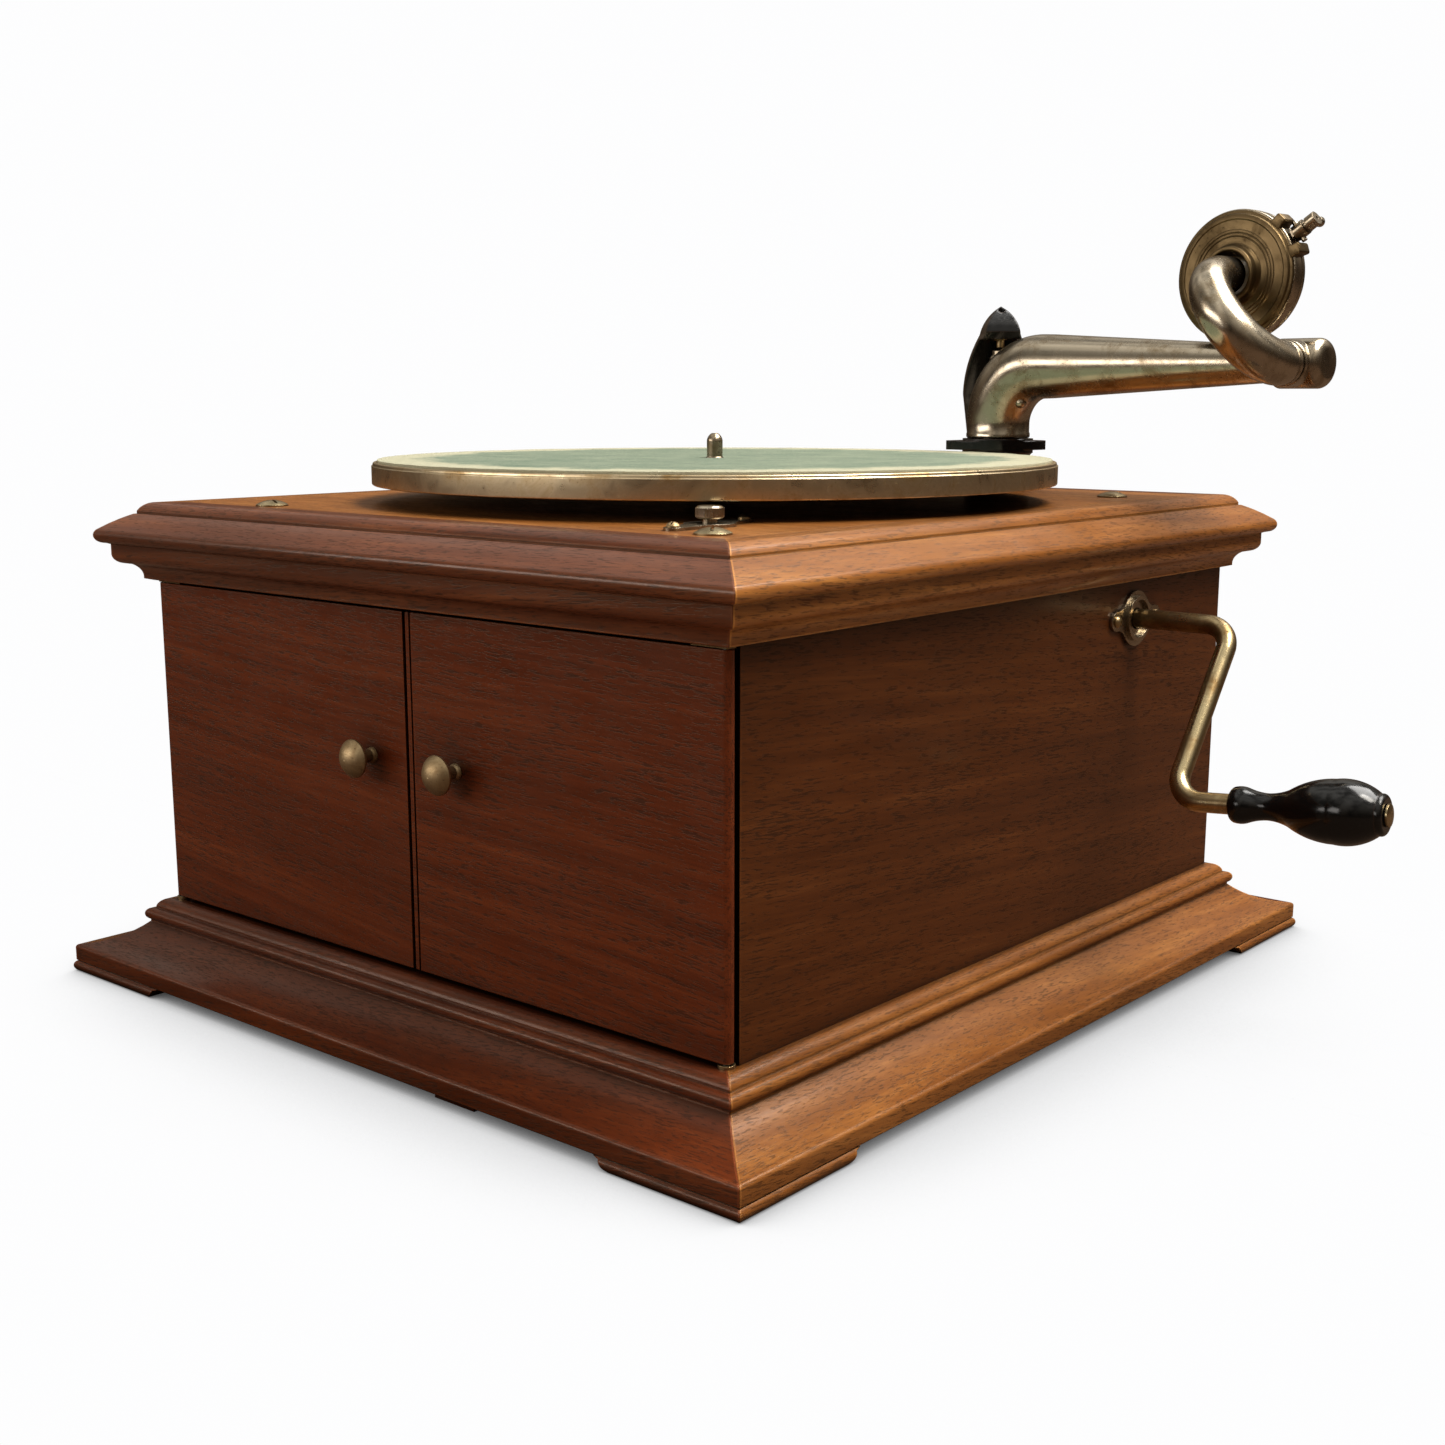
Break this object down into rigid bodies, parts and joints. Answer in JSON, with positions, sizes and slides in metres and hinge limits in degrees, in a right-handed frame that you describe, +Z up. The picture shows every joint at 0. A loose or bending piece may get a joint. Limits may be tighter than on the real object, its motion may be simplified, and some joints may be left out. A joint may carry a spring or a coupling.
{
  "type": "wind-up tabletop phonograph",
  "caption": "Square wooden tabletop wind-up phonograph: moulded box with front doors, felt turntable, tapered tone arm with flip-up soundbox, side winding crank.",
  "frame": {"origin": "centre of the feet underside, at the middle of the base", "axes": "+Z up, doors face -Y, crank side +X"},
  "size_m": [0.5046, 0.4346, 0.3415],
  "materials": {
    "mahogany": "french polished",
    "deck_wood": "polished",
    "inner_wood": "raw",
    "aged_nickel": "tarnished nickel plate",
    "aged_brass": "aged lacquer",
    "steel": "oiled",
    "cast_iron": "japanned",
    "black_enamel": "gloss",
    "ebonised": "gloss black stain",
    "felt": "faded felt",
    "lead": "dull lead",
    "gear_brass": "cut",
    "mica": "mica sheet",
    "horn_iron": "satin",
    "rubber": "aged"
  },
  "bodies": {
    "cabinet": {"arm_bracket": "black_enamel", "arm_pivot_screw": "aged_brass", "back_panel": "inner_wood", "base_back": "mahogany", "base_front": "mahogany", "base_left": "mahogany", "base_right": "mahogany", "bedplate": "cast_iron", "bottom_board": "inner_wood", "centre_foot": "mahogany", "cornice_back": "mahogany", "cornice_front": "mahogany", "cornice_left": "mahogany", "cornice_right": "mahogany", "deck_screws": "aged_nickel", "door_pivots": "aged_brass", "escutcheon": "aged_nickel", "front_header": "mahogany", "front_panel": "mahogany", "horn": "horn_iron", "horn_elbow": "horn_iron", "left_cheek": "steel", "left_side": "mahogany", "louvre_slats": "mahogany", "motor_board": "deck_wood", "right_cheek": "steel", "right_side": "mahogany", "small_screws": "aged_brass", "speed_plate": "aged_nickel"},
    "left_door": {"left_door": "mahogany", "left_knob": "aged_brass", "left_door_pins": "steel"},
    "right_door": {"right_door": "mahogany", "right_knob": "aged_brass", "right_door_pins": "steel"},
    "turntable": {"platter": "aged_nickel", "turntable_felt": "felt", "spindle": "aged_nickel", "governor_wheel": "gear_brass"},
    "crank": {"crank_rod": "aged_brass", "winding_shaft": "steel"},
    "grip": {"crank_grip": "ebonised"},
    "arbor": {"spring_arbor": "steel"},
    "barrel": {"spring_barrel": "gear_brass", "mainspring": "steel"},
    "first_shaft": {"intermediate_gear": "gear_brass"},
    "second_shaft": {"crown_gear": "gear_brass"},
    "governor": {"governor_shaft": "steel", "governor_springs": "steel", "governor_weights": "lead", "governor_disc": "gear_brass"},
    "regulator": {"speed_screw": "aged_nickel"},
    "brake": {"speed_lever": "steel"},
    "arm": {"tonearm": "aged_nickel"},
    "soundbox": {"gooseneck": "aged_nickel", "soundbox_shell": "aged_brass", "diaphragm": "mica", "gaskets": "rubber"},
    "stylus_bar": {"needle_bar": "aged_nickel"},
    "chuck_screw": {"needle_screw": "aged_nickel"}
  },
  "joints": [
    {"name": "left_door_swing", "type": "hinge", "parent": "cabinet", "child": "left_door", "pos_m": [-0.1639, -0.1804, 0.0336], "axis": [0, 0, 1], "range_deg": [-105, 0]},
    {"name": "right_door_swing", "type": "hinge", "parent": "cabinet", "child": "right_door", "pos_m": [0.1639, -0.1804, 0.0336], "axis": [0, 0, 1], "range_deg": [0, 105]},
    {"name": "turntable_spin", "type": "hinge", "parent": "cabinet", "child": "turntable", "pos_m": [0.01, -0.007, 0.228], "axis": [0, 0, 1], "continuous": true},
    {"name": "crank_turn", "type": "hinge", "parent": "cabinet", "child": "crank", "pos_m": [0.1665, 0.0974, 0.1639], "axis": [1, 0, 0], "continuous": true},
    {"name": "grip_spin", "type": "hinge", "parent": "crank", "child": "grip", "pos_m": [0.24, 0.04774, 0.09824], "axis": [0.9962, 0.0526, 0.0695], "continuous": true},
    {"name": "arbor_turn", "type": "hinge", "parent": "cabinet", "child": "arbor", "pos_m": [0, 0.0554, 0.1639], "axis": [1, 0, 0], "continuous": true},
    {"name": "barrel_turn", "type": "hinge", "parent": "cabinet", "child": "barrel", "pos_m": [0, 0.0554, 0.1639], "axis": [1, 0, 0], "continuous": true},
    {"name": "first_shaft_turn", "type": "hinge", "parent": "cabinet", "child": "first_shaft", "pos_m": [0, 0.02, 0.14814], "axis": [1, 0, 0], "continuous": true},
    {"name": "second_shaft_turn", "type": "hinge", "parent": "cabinet", "child": "second_shaft", "pos_m": [0.03, -0.007, 0.15556], "axis": [1, 0, 0], "continuous": true},
    {"name": "governor_turn", "type": "hinge", "parent": "cabinet", "child": "governor", "pos_m": [0, -0.0255, 0.184], "axis": [1, 0, 0], "continuous": true},
    {"name": "regulator_turn", "type": "hinge", "parent": "cabinet", "child": "regulator", "pos_m": [0.1156, -0.133, 0.215], "axis": [0, 0, 1], "range_deg": [-90, 90]},
    {"name": "brake_swing", "type": "hinge", "parent": "cabinet", "child": "brake", "pos_m": [0.05, -0.083, 0.184], "axis": [0, 0, 1], "range_deg": [-0.27, 0.27]},
    {"name": "arm_swing", "type": "hinge", "parent": "cabinet", "child": "arm", "pos_m": [0.0565, 0.157, 0.24], "axis": [0, 0, 1], "range_deg": [-95, 20]},
    {"name": "soundbox_flip", "type": "hinge", "parent": "arm", "child": "soundbox", "pos_m": [0.21616, 0.12898, 0.275], "axis": [-0.0872, -0.9962, 0], "range_deg": [-106, 0]},
    {"name": "stylus_rock", "type": "hinge", "parent": "soundbox", "child": "stylus_bar", "pos_m": [0.21368, 0.14225, 0.33078], "axis": [-0.5571, 0.0487, 0.829], "range_deg": [-0.3, 0.3]},
    {"name": "chuck_screw_turn", "type": "hinge", "parent": "stylus_bar", "child": "chuck_screw", "pos_m": [0.21946, 0.14174, 0.3347], "axis": [-0.0872, -0.9962, 0], "range_deg": [-45, 45]}
  ],
  "couplings": [
    {"joint": "arbor_turn", "follows": "crank_turn", "ratio": -0.4},
    {"joint": "second_shaft_turn", "follows": "turntable_spin", "ratio": -0.375},
    {"joint": "first_shaft_turn", "follows": "turntable_spin", "ratio": 0.10227},
    {"joint": "barrel_turn", "follows": "turntable_spin", "ratio": -0.024545},
    {"joint": "governor_turn", "follows": "turntable_spin", "ratio": -10},
    {"joint": "brake_swing", "follows": "regulator_turn", "ratio": -0.003}
  ]
}
